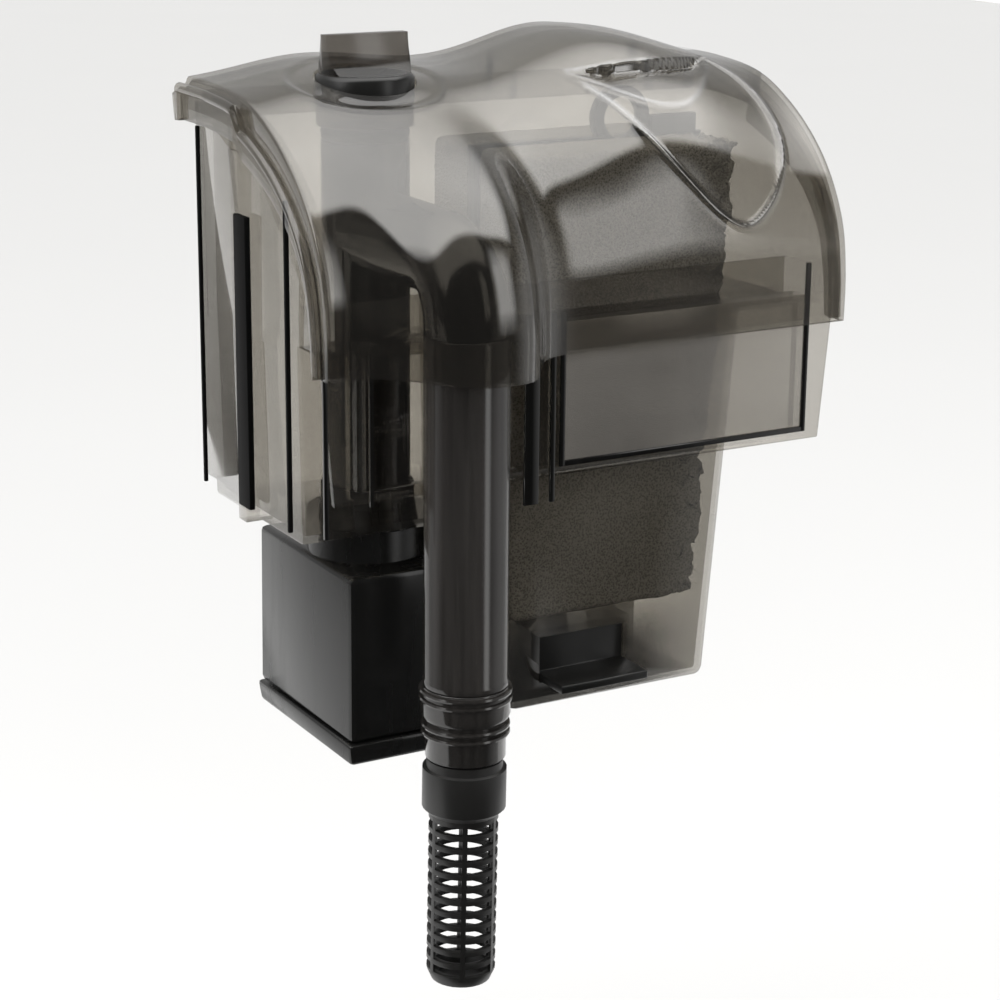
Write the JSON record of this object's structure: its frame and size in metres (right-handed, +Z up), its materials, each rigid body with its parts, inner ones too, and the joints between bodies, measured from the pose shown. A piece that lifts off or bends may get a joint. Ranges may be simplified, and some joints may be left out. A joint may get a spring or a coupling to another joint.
{
  "type": "hang on back filter",
  "caption": "Clear smoke-tinted aquarium filter that hooks over a tank rim, with a roll-top lid, black pump motor, intake tube with strainer and a foam media chamber.",
  "frame": {"origin": "underside of the hook, midway between the case and the hook's front wall, where it rests on the rim of the tank", "axes": "+Z up, +Y away from the tank towards the back of the filter, +X towards the media chamber, so the pump is on the -X side"},
  "size_m": [0.165, 0.11, 0.2499],
  "materials": {
    "smoke_plastic": "clear smoke-tinted moulded plastic, glossy",
    "dark_tube_plastic": "dark translucent moulded plastic, glossy",
    "black_plastic": "satin to glossy moulded black",
    "black_rubber": "matte",
    "white_nylon": "satin",
    "filter_foam": "open-cell foam with a frayed edge",
    "steel": "satin",
    "copper": "enamelled copper wire",
    "magnet": "sintered ferrite",
    "ceramic": "polished ceramic"
  },
  "bodies": {
    "case": {"filter_body": "smoke_plastic", "knob_seal": "black_rubber", "intake_manifold": "dark_tube_plastic", "intake_tube": "dark_tube_plastic", "tube_collar": "dark_tube_plastic", "motor_housing": "black_plastic", "motor_cap": "black_plastic", "motor_cap_screw_1": "steel", "motor_cap_screw_2": "steel", "motor_cap_screw_3": "steel", "motor_cap_screw_4": "steel", "stator_core": "steel", "coil_bobbin": "white_nylon", "coil_winding": "copper", "rotor_well": "black_plastic", "motor_gasket": "black_rubber", "impeller_shaft": "ceramic", "lower_bushing": "black_rubber", "upper_bushing": "black_rubber", "cable_gland": "black_rubber", "cartridge_frame": "black_plastic", "front_foam_pad": "filter_foam", "rear_foam_pad": "filter_foam"},
    "lid": {"lid": "smoke_plastic"},
    "knob": {"flow_knob": "black_plastic", "flow_valve": "black_plastic"},
    "impeller": {"rotor_magnet": "magnet", "impeller_blades": "white_nylon"},
    "extension": {"extension_tube": "dark_tube_plastic", "strainer": "black_plastic"},
    "foot": {"levelling_foot": "black_plastic"}
  },
  "joints": [
    {"name": "lid_lift", "type": "slide", "parent": "case", "child": "lid", "axis": [0, 0, 1], "range_m": [0, 0.06]},
    {"name": "flow_knob_turn", "type": "hinge", "parent": "case", "child": "knob", "pos_m": [-0.0445, 0.035, 0.052], "axis": [0, 0, 1], "range_deg": [0, 90]},
    {"name": "impeller_spin", "type": "hinge", "parent": "case", "child": "impeller", "pos_m": [-0.0445, 0.035, -0.07], "axis": [0, 0, 1], "continuous": true},
    {"name": "tube_extend", "type": "slide", "parent": "case", "child": "extension", "axis": [-0.0157, 0, -0.9999], "range_m": [0, 0.02]},
    {"name": "foot_slide", "type": "slide", "parent": "case", "child": "foot", "axis": [0, -1, 0], "range_m": [0, 0.009]}
  ]
}
